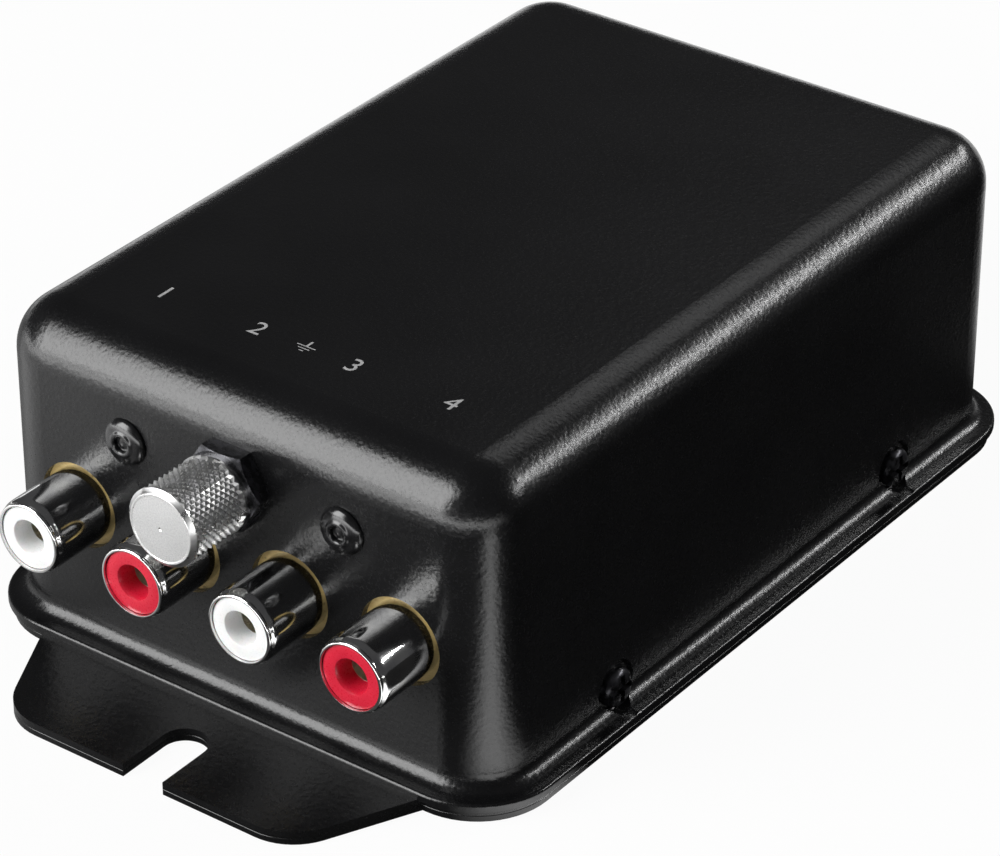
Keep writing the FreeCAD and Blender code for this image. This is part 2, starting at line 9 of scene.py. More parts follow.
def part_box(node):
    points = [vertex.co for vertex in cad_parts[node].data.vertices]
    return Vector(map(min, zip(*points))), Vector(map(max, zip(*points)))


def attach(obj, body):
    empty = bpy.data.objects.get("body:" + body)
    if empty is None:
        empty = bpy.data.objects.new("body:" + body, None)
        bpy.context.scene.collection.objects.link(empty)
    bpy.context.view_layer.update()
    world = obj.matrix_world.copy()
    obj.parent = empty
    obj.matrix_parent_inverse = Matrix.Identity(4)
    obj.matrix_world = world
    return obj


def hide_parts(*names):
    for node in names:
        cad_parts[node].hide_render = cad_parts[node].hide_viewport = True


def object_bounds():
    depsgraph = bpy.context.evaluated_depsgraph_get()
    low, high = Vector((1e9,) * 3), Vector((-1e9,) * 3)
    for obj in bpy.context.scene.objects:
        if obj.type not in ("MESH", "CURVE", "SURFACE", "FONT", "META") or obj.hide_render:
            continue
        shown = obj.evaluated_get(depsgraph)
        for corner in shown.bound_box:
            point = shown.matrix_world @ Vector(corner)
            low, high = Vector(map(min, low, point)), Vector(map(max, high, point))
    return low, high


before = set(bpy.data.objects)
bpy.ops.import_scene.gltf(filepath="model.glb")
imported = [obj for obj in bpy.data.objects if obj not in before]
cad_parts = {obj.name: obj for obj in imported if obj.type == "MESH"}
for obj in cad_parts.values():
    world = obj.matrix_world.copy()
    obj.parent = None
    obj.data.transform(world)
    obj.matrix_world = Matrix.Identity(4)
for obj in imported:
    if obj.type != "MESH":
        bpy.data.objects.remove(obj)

bl_info = {
    "name": "Phono preamp",
    "version": (1, 0, 0),
    "blender": (4, 5, 0),
    "location": "View3D > Sidebar > Preamp",
    "description": "Dresses the phono preamp: case, sockets, earth terminal, board and studio",
    "category": "Object",
}

cad_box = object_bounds()
MM = 0.001
SOCKETS = (1, 2, 3, 4)


def middle(node):
    """Centre of a node's box at rest."""
    low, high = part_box(node)
    return (Vector(low) + Vector(high)) / 2


# Sizes

class PreampSizes(bpy.types.PropertyGroup):
    """Sizes of the pieces that are modelled here, in metres"""
    rim_width: FloatProperty(
        name="Barrel rim", description="Width of the rolled rim at a socket's mouth",
        default=0.35 * MM, unit="LENGTH")
    rim_step: FloatProperty(
        name="Rim step", description="How far the rim stands in from the barrel",
        default=0.22 * MM, unit="LENGTH")
    insulator_recess: FloatProperty(
        name="Insulator recess", description="Depth of an insulator's face behind the rim",
        default=0.28 * MM, unit="LENGTH")
    bowl_radius: FloatProperty(
        name="Bowl radius", description="Radius of the bowl round a centre contact",
        default=1.98 * MM, unit="LENGTH")
    knurl_rows: IntProperty(
        name="Knurl rows", description="Rings of knurl points along the thumb nut",
        default=10, min=3)
    knurl_columns: IntProperty(
        name="Knurl columns", description="Knurl points and grooves round the thumb nut",
        default=60, min=8)
    knurl_depth: FloatProperty(
        name="Knurl depth", description="Height of a knurl point over its groove",
        default=0.28 * MM, unit="LENGTH")
    thread_pitch: FloatProperty(
        name="Thread pitch", description="Distance between two crests of the stud's thread",
        default=0.7 * MM, unit="LENGTH")
    number_line: FloatProperty(
        name="Number line", description="Distance of the numbers' foot from the case's middle",
        default=36.6 * MM, unit="LENGTH")
    number_spread: FloatProperty(
        name="Number spread", description="Spacing of the numbers as a share of the sockets' spacing",
        default=0.88)
    number_height: FloatProperty(
        name="Number height", description="Height of the printed numbers",
        default=2.5 * MM, unit="LENGTH")
    print_thickness: FloatProperty(
        name="Print thickness", description="Height of the ink over the paint",
        default=0.008 * MM, unit="LENGTH")


class PreampColours(bpy.types.PropertyGroup):
    """Colours of the finishes, as sRGB hex values"""
    powder: StringProperty(name="Powder coat", description="Cover and base plate", default="0D0D0E")
    white: StringProperty(name="White plastic", description="Left insulators", default="E9E9E8")
    red: StringProperty(name="Red plastic", description="Right insulators", default="C81E36")
    board: StringProperty(name="Phenolic board", description="Boards behind the sockets", default="C9AC66")
    ink: StringProperty(name="Printing ink", description="Numbers on the top", default="B9B9B9")


class PreampStage(bpy.types.PropertyGroup):
    """Camera place, turn and lens"""
    lens: FloatProperty(name="Lens", description="Focal length in millimetres", default=160.9)
    eye: FloatVectorProperty(
        name="Camera place", description="Where the camera stands, in metres",
        default=(0.24540, -0.33299, 0.26400), size=3, unit="LENGTH")
    azimuth: FloatProperty(
        name="Azimuth", description="How far the camera is turned to the right side",
        default=math.radians(36.636), subtype="ANGLE")
    pitch: FloatProperty(
        name="Pitch", description="How far the camera looks down",
        default=math.radians(31.442), subtype="ANGLE")


# Mesh helpers

def deselect():
    """Leave object mode clean before a new piece."""
    if bpy.context.object and bpy.context.object.mode != "OBJECT":
        bpy.ops.object.mode_set(mode="OBJECT")
    bpy.ops.object.select_all(action="DESELECT")


def active(name):
    """Name the new active object and return it."""
    piece = bpy.context.object
    piece.name = name
    piece.data.name = name
    return piece


def pick(kind, test):
    """In edit mode, select the verts, edges or faces that pass a test of their centre."""
    bpy.ops.mesh.select_mode(type=kind)
    mesh = bpy.context.object.data
    form = bmesh.from_edit_mesh(mesh)
    groups = {"VERT": form.verts, "EDGE": form.edges, "FACE": form.faces}
    for group in (form.verts, form.edges, form.faces):
        for part in group:
            part.select_set(False)
    for part in groups[kind]:
        if test(part):
            part.select_set(True)
    form.select_flush_mode()
    bmesh.update_edit_mesh(mesh)


def settle():
    """Bake the active object's place, turn and size into its mesh."""
    bpy.ops.object.transform_apply(location=True, rotation=True, scale=True)


def shade(angle):
    """Smooth the active object apart from its sharp edges."""
    bpy.ops.object.shade_smooth_by_angle(angle=math.radians(angle))


def turned(name, profile, steps):
    """Lathe a profile of (radius, height) points about Z, as a part is turned on a lathe.

    The profile starts as one point that is extruded along the outline, then spun. Vertices are picked first,
    because a piece made before may have left edges or faces picked, and a lone point would then be lost."""
    deselect()
    bpy.ops.mesh.primitive_plane_add(size=MM, location=(0, 0, 0))
    piece = active(name)
    bpy.ops.object.mode_set(mode="EDIT")
    bpy.ops.mesh.select_mode(type="VERT")
    bpy.ops.mesh.select_all(action="SELECT")
    bpy.ops.mesh.merge(type="CENTER")
    first = Vector((profile[0][0], 0, profile[0][1]))
    bpy.ops.transform.translate(value=first)
    for (r0, z0), (r1, z1) in zip(profile, profile[1:]):
        bpy.ops.mesh.extrude_region_move(TRANSFORM_OT_translate={"value": (r1 - r0, 0, z1 - z0)})
    bpy.ops.mesh.select_all(action="SELECT")
    bpy.ops.mesh.spin(steps=steps, angle=math.tau, center=(0, 0, 0), axis=(0, 0, 1))
    bpy.ops.mesh.select_all(action="SELECT")
    bpy.ops.mesh.remove_doubles(threshold=1e-6)
    bpy.ops.mesh.normals_make_consistent(inside=False)
    bpy.ops.object.mode_set(mode="OBJECT")
    shade(40)
    return piece


def aim(piece, place, direction):
    """Turn a lathed piece's Z to a direction and move it to its place, in its mesh."""
    turn = Vector((0, 0, 1)).rotation_difference(Vector(direction)).to_matrix().to_4x4()
    piece.data.transform(Matrix.Translation(place) @ turn)
    piece.data.update()


def fit_piece(piece, body, slot, surface, *nodes):
    """Give a piece its finish, the body that it rides on and the nodes that it stands for."""
    if not piece.data.polygons:
        raise RuntimeError("%s was left without faces" % piece.name)
    piece.data.materials.clear()
    piece.data.materials.append(surface)
    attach(piece, body)
    if nodes:
        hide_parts(*nodes)


def dress(node, surface):
    """Finish a node that keeps its own shape."""
    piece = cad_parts[node]
    piece.data.materials.clear()
    piece.data.materials.append(surface)


# Material helpers

def linear(hex_value):
    """sRGB hex to linear red, green, blue and full alpha."""
    shares = [int(hex_value[place:place + 2], 16) / 255 for place in (0, 2, 4)]
    return tuple(c / 12.92 if c <= 0.04045 else ((c + 0.055) / 1.055) ** 2.4 for c in shares) + (1.0,)


def add(tree, kind, inputs=(), **settings):
    """Add a node, set its properties, and set or link its inputs."""
    node = tree.nodes.new(kind)
    for name, value in settings.items():
        setattr(node, name, value)
    for name, value in dict(inputs).items():
        if isinstance(value, bpy.types.NodeSocket):
            tree.links.new(value, node.inputs[name])
        else:
            node.inputs[name].default_value = value
    return node


def new_surface(name):
    """Empty material with its Principled shader and an Object coordinate socket."""
    surface = bpy.data.materials.new(name)
    surface.use_nodes = True
    tree = surface.node_tree
    tree.nodes.clear()
    shader = add(tree, "ShaderNodeBsdfPrincipled")
    add(tree, "ShaderNodeOutputMaterial", {"Surface": shader.outputs["BSDF"]})
    place = add(tree, "ShaderNodeTexCoord").outputs["Object"]
    return surface, tree, shader, place


def grains_per_metre(size_mm):
    """Texture scale for a grain of a real size."""
    return 1 / (size_mm * MM)


NOISE = "ShaderNodeTexNoise"
RANGE = "ShaderNodeMapRange"
MATH = "ShaderNodeMath"
MIX = "ShaderNodeMix"


def grain(place, size_mm, detail=3.0, roughness=0.5):
    """Inputs of a cloudy pattern with grains of a real size."""
    return {"Vector": place, "Scale": grains_per_metre(size_mm), "Detail": detail, "Roughness": roughness}


def between(value, low, high, to_low=0.0, to_high=1.0):
    """Inputs that map a value from one range to another."""
    return {"Value": value, "From Min": low, "From Max": high, "To Min": to_low, "To Max": to_high}


def mixture(share, first, second):
    """Inputs that mix two colours. A colour Mix has them at sockets 6 and 7."""
    return {0: share, 6: first, 7: second}


def tinted(tree, pattern, low, high, first_hex, second_hex):
    """Colour that goes from one hex value to another over a range of a pattern."""
    share = add(tree, RANGE, between(pattern, low, high)).outputs["Result"]
    return add(tree, MIX, mixture(share, linear(first_hex), linear(second_hex)), data_type="RGBA").outputs[2]


def finish_with(tree, shader, colour, rough, height, depth_mm, strength):
    """Link a finish's colour, roughness and relief of a real depth to its shader."""
    relief = {"Height": height, "Distance": depth_mm * MM, "Strength": strength}
    normal = add(tree, "ShaderNodeBump", relief).outputs["Normal"]
    for name, socket in (("Base Color", colour), ("Roughness", rough), ("Normal", normal)):
        tree.links.new(socket, shader.inputs[name])


# Finishes

def powder_coat(name, hex_value, grain_mm=0.55, seam_mm=None):
    """Textured satin powder coat: fine flowed grain that breaks up the reflections."""
    surface, tree, shader, place = new_surface(name)
    shader.inputs["IOR"].default_value = 1.5
    shader.inputs["Specular IOR Level"].default_value = 0.42
    cells = add(tree, "ShaderNodeTexVoronoi",
                {"Vector": place, "Scale": grains_per_metre(grain_mm), "Smoothness": 0.6},
                feature="SMOOTH_F1").outputs["Distance"]
    fine = add(tree, NOISE, grain(place, grain_mm * 0.5, 4.0)).outputs["Fac"]
    height = add(tree, MATH, {0: cells, 1: fine}, operation="ADD").outputs[0]
    cloud = add(tree, NOISE, grain(place, 14.0, 2.0)).outputs["Fac"]
    base = tinted(tree, cloud, 0.3, 0.7, hex_value, "121213")
    rough = add(tree, RANGE, between(fine, 0.3, 0.7, 0.19, 0.30)).outputs["Result"]
    if seam_mm is not None:
        level = add(tree, "ShaderNodeSeparateXYZ", {"Vector": place}).outputs["Z"]
        off = add(tree, MATH, {0: level, 1: seam_mm * MM}, operation="SUBTRACT").outputs[0]
        gap = add(tree, MATH, {0: off}, operation="ABSOLUTE").outputs[0]
        step = add(tree, RANGE, between(gap, 0.05 * MM, 0.13 * MM, -6.0, 0.0)).outputs["Result"]
        height = add(tree, MATH, {0: height, 1: step}, operation="ADD").outputs[0]
    finish_with(tree, shader, base, rough, height, 0.028, 0.65)
    return surface


def bright_plate(name, hex_value="E4E4E2", roughness=0.09, smear_mm=2.4):
    """Bright nickel-chrome plating: clean mirror with faint draw marks and smears."""
    surface, tree, shader, place = new_surface(name)
    shader.inputs["Metallic"].default_value = 1.0
    smear = add(tree, NOISE, grain(place, smear_mm, 3.0)).outputs["Fac"]
    fine = add(tree, NOISE, grain(place, 0.25, 2.0)).outputs["Fac"]
    base = tinted(tree, smear, 0.35, 0.65, hex_value, "C9C9CA")
    rough = add(tree, RANGE, between(smear, 0.3, 0.7, roughness * 0.7, roughness * 1.5)).outputs["Result"]
    finish_with(tree, shader, base, rough, fine, 0.0012, 0.5)
    return surface


def faced_plate(name, centre, hex_value="E9E9E8"):
    """Plated face fresh from the lathe: fine rings round a centre mark."""
    surface, tree, shader, place = new_surface(name)
    shader.inputs["Metallic"].default_value = 1.0
    shift = add(tree, "ShaderNodeMapping", {"Vector": place, "Location": -centre}).outputs["Vector"]
    flat = add(tree, "ShaderNodeVectorMath", {0: shift, 1: (1.0, 0.0, 1.0)}, operation="MULTIPLY").outputs[0]
    radius = add(tree, "ShaderNodeVectorMath", {0: flat}, operation="LENGTH").outputs["Value"]
    rings_per_metre = grains_per_metre(0.22)
    turns = add(tree, MATH, {0: radius, 1: math.tau * rings_per_metre}, operation="MULTIPLY").outputs[0]
    rings = add(tree, MATH, {0: turns}, operation="SINE").outputs[0]
    speck = add(tree, NOISE, grain(place, 0.18, 2.0)).outputs["Fac"]
    base = tinted(tree, speck, 0.35, 0.65, hex_value, "D4D4D4")
    rough = add(tree, RANGE, between(speck, 0.3, 0.7, 0.30, 0.48)).outputs["Result"]
    finish_with(tree, shader, base, rough, rings, 0.004, 0.45)
    return surface


def dark_plate(name, hex_value="2A2A2C", roughness=0.32):
    """Black nickel or black zinc: dark metal with lighter patches at random and a soft sheen."""
    surface, tree, shader, place = new_surface(name)
    shader.inputs["Metallic"].default_value = 0.75
    cloud = add(tree, NOISE, grain(place, 0.9, 4.0)).outputs["Fac"]
    base = tinted(tree, cloud, 0.4, 0.75, hex_value, "55555A")
    rough = add(tree, RANGE, between(cloud, 0.3, 0.7, roughness * 0.8, roughness * 1.3)).outputs["Result"]
    finish_with(tree, shader, base, rough, cloud, 0.004, 0.5)
    return surface


def black_enamel(name):
    """Glossy black paint on a rivet: pooled and slightly uneven."""
    surface, tree, shader, place = new_surface(name)
    shader.inputs["IOR"].default_value = 1.52
    pool = add(tree, NOISE, grain(place, 1.1, 3.0)).outputs["Fac"]
    base = tinted(tree, pool, 0.35, 0.7, "0E0E0F", "1C1C1D")
    rough = add(tree, RANGE, between(pool, 0.3, 0.7, 0.12, 0.26)).outputs["Result"]
    finish_with(tree, shader, base, rough, pool, 0.02, 0.4)
    return surface


def zinc_plate(name, hex_value="B9BBB8"):
    """Zinc-plated steel: cool grey with a faint spangle."""
    surface, tree, shader, place = new_surface(name)
    shader.inputs["Metallic"].default_value = 1.0
    spangle = add(tree, "ShaderNodeTexVoronoi",
                  {"Vector": place, "Scale": grains_per_metre(0.8)}).outputs["Color"]
    tone = add(tree, "ShaderNodeRGBToBW", {"Color": spangle}).outputs["Val"]
    base = tinted(tree, tone, 0.0, 1.0, hex_value, "8E918F")
    rough = add(tree, RANGE, between(tone, 0.0, 1.0, 0.24, 0.40)).outputs["Result"]
    finish_with(tree, shader, base, rough, tone, 0.003, 0.4)
    return surface


def yellow_metal(name, hex_value="C9A75A", tinned=False):
    """Turned brass, or brass under a thin coat of tin: warm metal with dull patches."""
    surface, tree, shader, place = new_surface(name)
    shader.inputs["Metallic"].default_value = 1.0
    patch = add(tree, NOISE, grain(place, 1.6, 4.0)).outputs["Fac"]
    base = tinted(tree, patch, 0.35, 0.75, hex_value, "B8B2A2" if tinned else "8F7434")
    rough = add(tree, RANGE, between(patch, 0.3, 0.7, 0.22, 0.42)).outputs["Result"]
    finish_with(tree, shader, base, rough, patch, 0.004, 0.4)
    return surface


def moulded_plastic(name, hex_value, shadow_hex, roughness=0.28, grain_mm=0.7, glow=0.0):
    """Injection-moulded plastic: even colour, faint flow marks and a soft gloss."""
    surface, tree, shader, place = new_surface(name)
    shader.inputs["IOR"].default_value = 1.49
    shader.inputs["Subsurface Weight"].default_value = glow
    shader.inputs["Subsurface Scale"].default_value = 0.6 * MM
    flow = add(tree, NOISE, grain(place, grain_mm * 4, 2.0)).outputs["Fac"]
    fine = add(tree, NOISE, grain(place, grain_mm * 0.3, 3.0)).outputs["Fac"]
    base = tinted(tree, flow, 0.3, 0.7, hex_value, shadow_hex)
    rough = add(tree, RANGE, between(fine, 0.3, 0.7, roughness * 0.8, roughness * 1.25)).outputs["Result"]
    finish_with(tree, shader, base, rough, fine, 0.003, 0.35)
    return surface


def phenolic_board(name, hex_value):
    """Phenolic paper board: tan, with paper fibres along it and darker flecks."""
    surface, tree, shader, place = new_surface(name)
    shader.inputs["IOR"].default_value = 1.55
    stretch = add(tree, "ShaderNodeMapping", {"Vector": place, "Scale": (0.25, 1.0, 1.0)}).outputs["Vector"]
    fibre = add(tree, NOISE, grain(stretch, 0.35, 5.0, 0.6)).outputs["Fac"]
    fleck = add(tree, NOISE, grain(place, 0.9, 2.0)).outputs["Fac"]
    tan = tinted(tree, fibre, 0.3, 0.7, hex_value, "DCC489")
    share = add(tree, RANGE, between(fleck, 0.62, 0.78)).outputs["Result"]
    base = add(tree, MIX, mixture(share, tan, linear("6E5A2C")), data_type="RGBA").outputs[2]
    rough = add(tree, RANGE, between(fibre, 0.3, 0.7, 0.42, 0.60)).outputs["Result"]
    finish_with(tree, shader, base, rough, fibre, 0.006, 0.5)
    return surface


def solder_mask(name):
    """Green solder mask over copper tracks: tracks show as lighter raised lines."""
    surface, tree, shader, place = new_surface(name)
    shader.inputs["IOR"].default_value = 1.5
    cell = add(tree, "ShaderNodeTexVoronoi", {"Vector": place, "Scale": grains_per_metre(5.0)},
               distance="MANHATTAN", feature="F1").outputs["Distance"]
    lines = add(tree, MATH, {0: cell, 1: 6.0}, operation="MULTIPLY").outputs[0]
    tracks = add(tree, MATH, {0: lines}, operation="FRACT").outputs[0]
    edge = add(tree, RANGE, between(tracks, 0.42, 0.5)).outputs["Result"]
    base = add(tree, MIX, mixture(edge, linear("0F4A22"), linear("1F6B34")), data_type="RGBA").outputs[2]
    rough = add(tree, RANGE, between(edge, 0.0, 1.0, 0.34, 0.24)).outputs["Result"]
    finish_with(tree, shader, base, rough, edge, 0.035, 0.7)
    return surface


def striped_sleeve(name, hex_value, stripe_hex, node):
    """Shrunk plastic sleeve of a capacitor, with its pale stripe down one side."""
    surface, tree, shader, place = new_surface(name)
    shader.inputs["IOR"].default_value = 1.5
    side = add(tree, "ShaderNodeSeparateXYZ", {"Vector": place}).outputs["Y"]
    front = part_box(node)[0][1]
    stripe = add(tree, RANGE, between(side, front + 0.9 * MM, front + 1.0 * MM, 1.0, 0.0)).outputs["Result"]
    wrinkle = add(tree, NOISE, grain(place, 1.2, 3.0)).outputs["Fac"]
    pair = mixture(stripe, linear(hex_value), linear(stripe_hex))
    base = add(tree, MIX, pair, data_type="RGBA").outputs[2]
    rough = add(tree, RANGE, between(wrinkle, 0.3, 0.7, 0.22, 0.36)).outputs["Result"]
    finish_with(tree, shader, base, rough, wrinkle, 0.02, 0.4)
    return surface


def banded_lacquer(name, node, bands):
    """Resistor lacquer with its colour bands, one after another along Y."""
    surface, tree, shader, place = new_surface(name)
    shader.inputs["IOR"].default_value = 1.5
    along = add(tree, "ShaderNodeSeparateXYZ", {"Vector": place}).outputs["Y"]
    centre = middle(node).y
    base = linear("CDB48A")
    for index, hex_value in enumerate(bands):
        start = centre + (index - 1.6) * 1.15 * MM
        stop = start + 0.55 * MM
        begin = add(tree, RANGE, between(along, start, start + 0.05 * MM)).outputs["Result"]
        end = add(tree, RANGE, between(along, stop, stop + 0.05 * MM, 1.0, 0.0)).outputs["Result"]
        share = add(tree, MATH, {0: begin, 1: end}, operation="MULTIPLY").outputs[0]
        base = add(tree, MIX, mixture(share, base, linear(hex_value)), data_type="RGBA").outputs[2]
    pool = add(tree, NOISE, grain(place, 0.6, 2.0)).outputs["Fac"]
    rough = add(tree, RANGE, between(pool, 0.3, 0.7, 0.18, 0.30)).outputs["Result"]
    finish_with(tree, shader, base, rough, pool, 0.015, 0.4)
    return surface


def wire_sleeve(name, hex_value, shadow_hex):
    """Soft vinyl insulation: even colour, matt bloom and slight dents."""
    surface, tree, shader, place = new_surface(name)
    shader.inputs["IOR"].default_value = 1.53
    bloom = add(tree, NOISE, grain(place, 1.8, 3.0)).outputs["Fac"]
    base = tinted(tree, bloom, 0.35, 0.7, hex_value, shadow_hex)
    rough = add(tree, RANGE, between(bloom, 0.3, 0.7, 0.36, 0.52)).outputs["Result"]
    finish_with(tree, shader, base, rough, bloom, 0.02, 0.3)
    return surface


def printing_ink(name, hex_value):
    """Screen-printed ink: matt, slightly thin where the mesh left less."""
    surface, tree, shader, place = new_surface(name)
    thin = add(tree, NOISE, grain(place, 0.3, 3.0)).outputs["Fac"]
    base = tinted(tree, thin, 0.35, 0.8, hex_value, "8F8F8F")
    rough = add(tree, RANGE, between(thin, 0.3, 0.7, 0.55, 0.75)).outputs["Result"]
    finish_with(tree, shader, base, rough, thin, 0.003, 0.4)
    return surface


def shared(make, name, *values):
    """Make a finish once and reuse it by name."""
    return bpy.data.materials.get(name) or make(name, *values)


# Case

class PREAMP_OT_case(bpy.types.Operator):
    """Finish the drawn cover, the base plate and the side screws"""
    bl_idname = "preamp.case"
    bl_label = "Case"

    def execute(self, context):
        colours = context.scene.preamp_colours
        seam_mm = 0.75
        dress("cover", powder_coat("black textured powder coat", colours.powder))
        dress("base_plate", powder_coat("black powder coated plate", colours.powder, 0.7, seam_mm))
        dress("side_screws", dark_plate("black zinc screw", "1E1E20", 0.28))
        return {"FINISHED"}


class PREAMP_OT_rivets(bpy.types.Operator):
    """Model the painted blind rivets with their collars and broken mandrels"""
    bl_idname = "preamp.rivets"
    bl_label = "Rivets"

    def execute(self, context):
        low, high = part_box("board_rivets")
        head = (high[2] - low[2]) / 2
        rise = 1.0 * MM
        wall = low[1] + rise
        collar = head * 0.50
        hole = head * 0.33
        profile = [(0, -rise * 0.5), (head * 0.8, -rise * 0.02), (head * 0.97, 0), (head, rise * 0.12),
                   (head * 0.985, rise * 0.28), (head * 0.94, rise * 0.44), (head * 0.86, rise * 0.60),
                   (head * 0.75, rise * 0.72), (collar * 1.24, rise * 0.80), (collar * 1.12, rise * 0.84),
                   (collar * 1.04, rise * 0.94), (collar * 0.95, rise * 0.99), (collar * 0.84, rise),
                   (hole * 1.12, rise * 0.97), (hole * 1.02, rise * 0.90), (hole, rise * 0.80),
                   (hole, rise * 0.40), (hole * 0.82, rise * 0.34), (hole * 0.74, rise * 0.50),
                   (hole * 0.45, rise * 0.58), (0, rise * 0.58)]
        left = turned("rivet_left", profile, 56)
        deselect()
        left.select_set(True)
        context.view_layer.objects.active = left
        bpy.ops.object.duplicate()
        right = active("rivet_right")
        enamel = black_enamel("black painted rivet")
        height = (low[2] + high[2]) / 2
        for piece, x in ((left, low[0] + head), (right, high[0] - head)):
            aim(piece, Vector((x, wall, height)), (0, -1, 0))
            fit_piece(piece, "enclosure", "black_rivet", enamel)
        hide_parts("board_rivets")
        return {"FINISHED"}


# Sockets

class PREAMP_OT_barrels(bpy.types.Operator):
    """Model the plated socket barrels with their rolled rims"""
    bl_idname = "preamp.barrels"
    bl_label = "Barrels"

    def execute(self, context):
        sizes = context.scene.preamp_sizes
        chrome = bright_plate("bright chrome plating")
        for number in SOCKETS:
            node = "jack_shell_%d" % number
            low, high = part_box(node)
            centre = middle(node)
            radius = (high[0] - low[0]) / 2
            length = high[1] - low[1]
            wall = 0.55 * MM
            step = sizes.rim_step
            rim = sizes.rim_width
            bore = radius - wall
            seat = length - 2.5 * MM
            profile = [(bore, wall * 2), (bore, 0.08 * MM), (bore + 0.02 * MM, 0.02 * MM),
                       (bore + 0.08 * MM, 0), (radius - step - 0.20 * MM, 0.01 * MM),
                       (radius - step - 0.10 * MM, 0.04 * MM), (radius - step - 0.03 * MM, 0.11 * MM),
                       (radius - step, 0.21 * MM), (radius - step, rim),
                       (radius - step * 1.15, rim + 0.05 * MM), (radius - step, rim + 0.16 * MM),
                       (radius - step * 0.45, rim + 0.30 * MM), (radius - step * 0.12, rim + 0.55 * MM),
                       (radius, rim + 0.95 * MM), (radius, seat), (radius * 0.7, seat),
                       (radius * 0.7, length - 0.5 * MM), (radius * 0.89, length - 0.5 * MM),
                       (radius * 0.89, length), (radius * 0.53, length), (radius * 0.53, seat - wall),
                       (bore, seat - wall), (bore, wall * 2)]
            piece = turned("barrel_%d" % number, profile, 96)
            aim(piece, Vector((centre.x, low[1], centre.z)), (0, 1, 0))
            fit_piece(piece, "enclosure", "bright_chrome", chrome, node)
        return {"FINISHED"}


class PREAMP_OT_insulators(bpy.types.Operator):
    """Model the white and red insulators with the bowl round each contact"""
    bl_idname = "preamp.insulators"
    bl_label = "Insulators"

    def execute(self, context):
        sizes = context.scene.preamp_sizes
        colours = context.scene.preamp_colours
        white = moulded_plastic("white moulded plastic", colours.white, "DFDFDF", 0.3, 0.7, 0.15)
        red = moulded_plastic("red moulded plastic", colours.red, "BE1730", 0.3, 0.7, 0.1)
        steel = yellow_metal("tinned contact sleeve", "D9D6CC", True)
        throat, floor = 1.66 * MM, 2.5 * MM
        sleeve, sleeve_end = 2.03 * MM, 7.6 * MM
        neck, shoulder = 2.17 * MM, 7.9 * MM
        tail = 0.73 * MM
        for number in SOCKETS:
            node = "jack_insulator_%d" % number
            low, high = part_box(node)
            shell_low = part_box("jack_shell_%d" % number)[0]
            centre = middle(node)
            radius = (high[0] - low[0]) / 2
            face = sizes.insulator_recess
            bowl = sizes.bowl_radius
            end = high[1] - shell_low[1]
            profile = [(throat, floor), (throat + 0.04 * MM, 1.6 * MM), (throat + 0.10 * MM, 1.05 * MM),
                       (throat + 0.18 * MM, 0.62 * MM), (bowl - 0.03 * MM, face + 0.14 * MM),
                       (bowl + 0.05 * MM, face + 0.03 * MM), (bowl + 0.2 * MM, face),
                       (radius - 0.16 * MM, face), (radius - 0.05 * MM, face + 0.04 * MM),
                       (radius - 0.01 * MM, face + 0.14 * MM), (radius, shoulder), (neck, shoulder),
                       (neck, end), (tail, end), (tail, sleeve_end),
                       (sleeve, sleeve_end), (sleeve, floor), (throat, floor)]
            piece = turned("insulator_%d" % number, profile, 80)
            aim(piece, Vector((centre.x, shell_low[1], centre.z)), (0, 1, 0))
            is_white = number % 2 == 1
            fit_piece(piece, "enclosure", "white_insulator" if is_white else "red_insulator",
                      white if is_white else red, node)
            dress("jack_contact_%d" % number, steel)
            dress("jack_tag_%d" % number, shared(yellow_metal, "tinned brass tag", "C2BCA8", True))
        for side in ("left", "right"):
            dress("jack_board_" + side, shared(phenolic_board, "phenolic paper board", colours.board))
        return {"FINISHED"}


# Earth terminal

def grow_ring(step, scale, centre):
    """Extrude the selected ring along Z and scale it about the nut's axis."""
    bpy.ops.mesh.extrude_region_move(TRANSFORM_OT_translate={"value": (0, 0, step)})
    bpy.ops.transform.resize(value=(scale, scale, 1), center_override=centre)


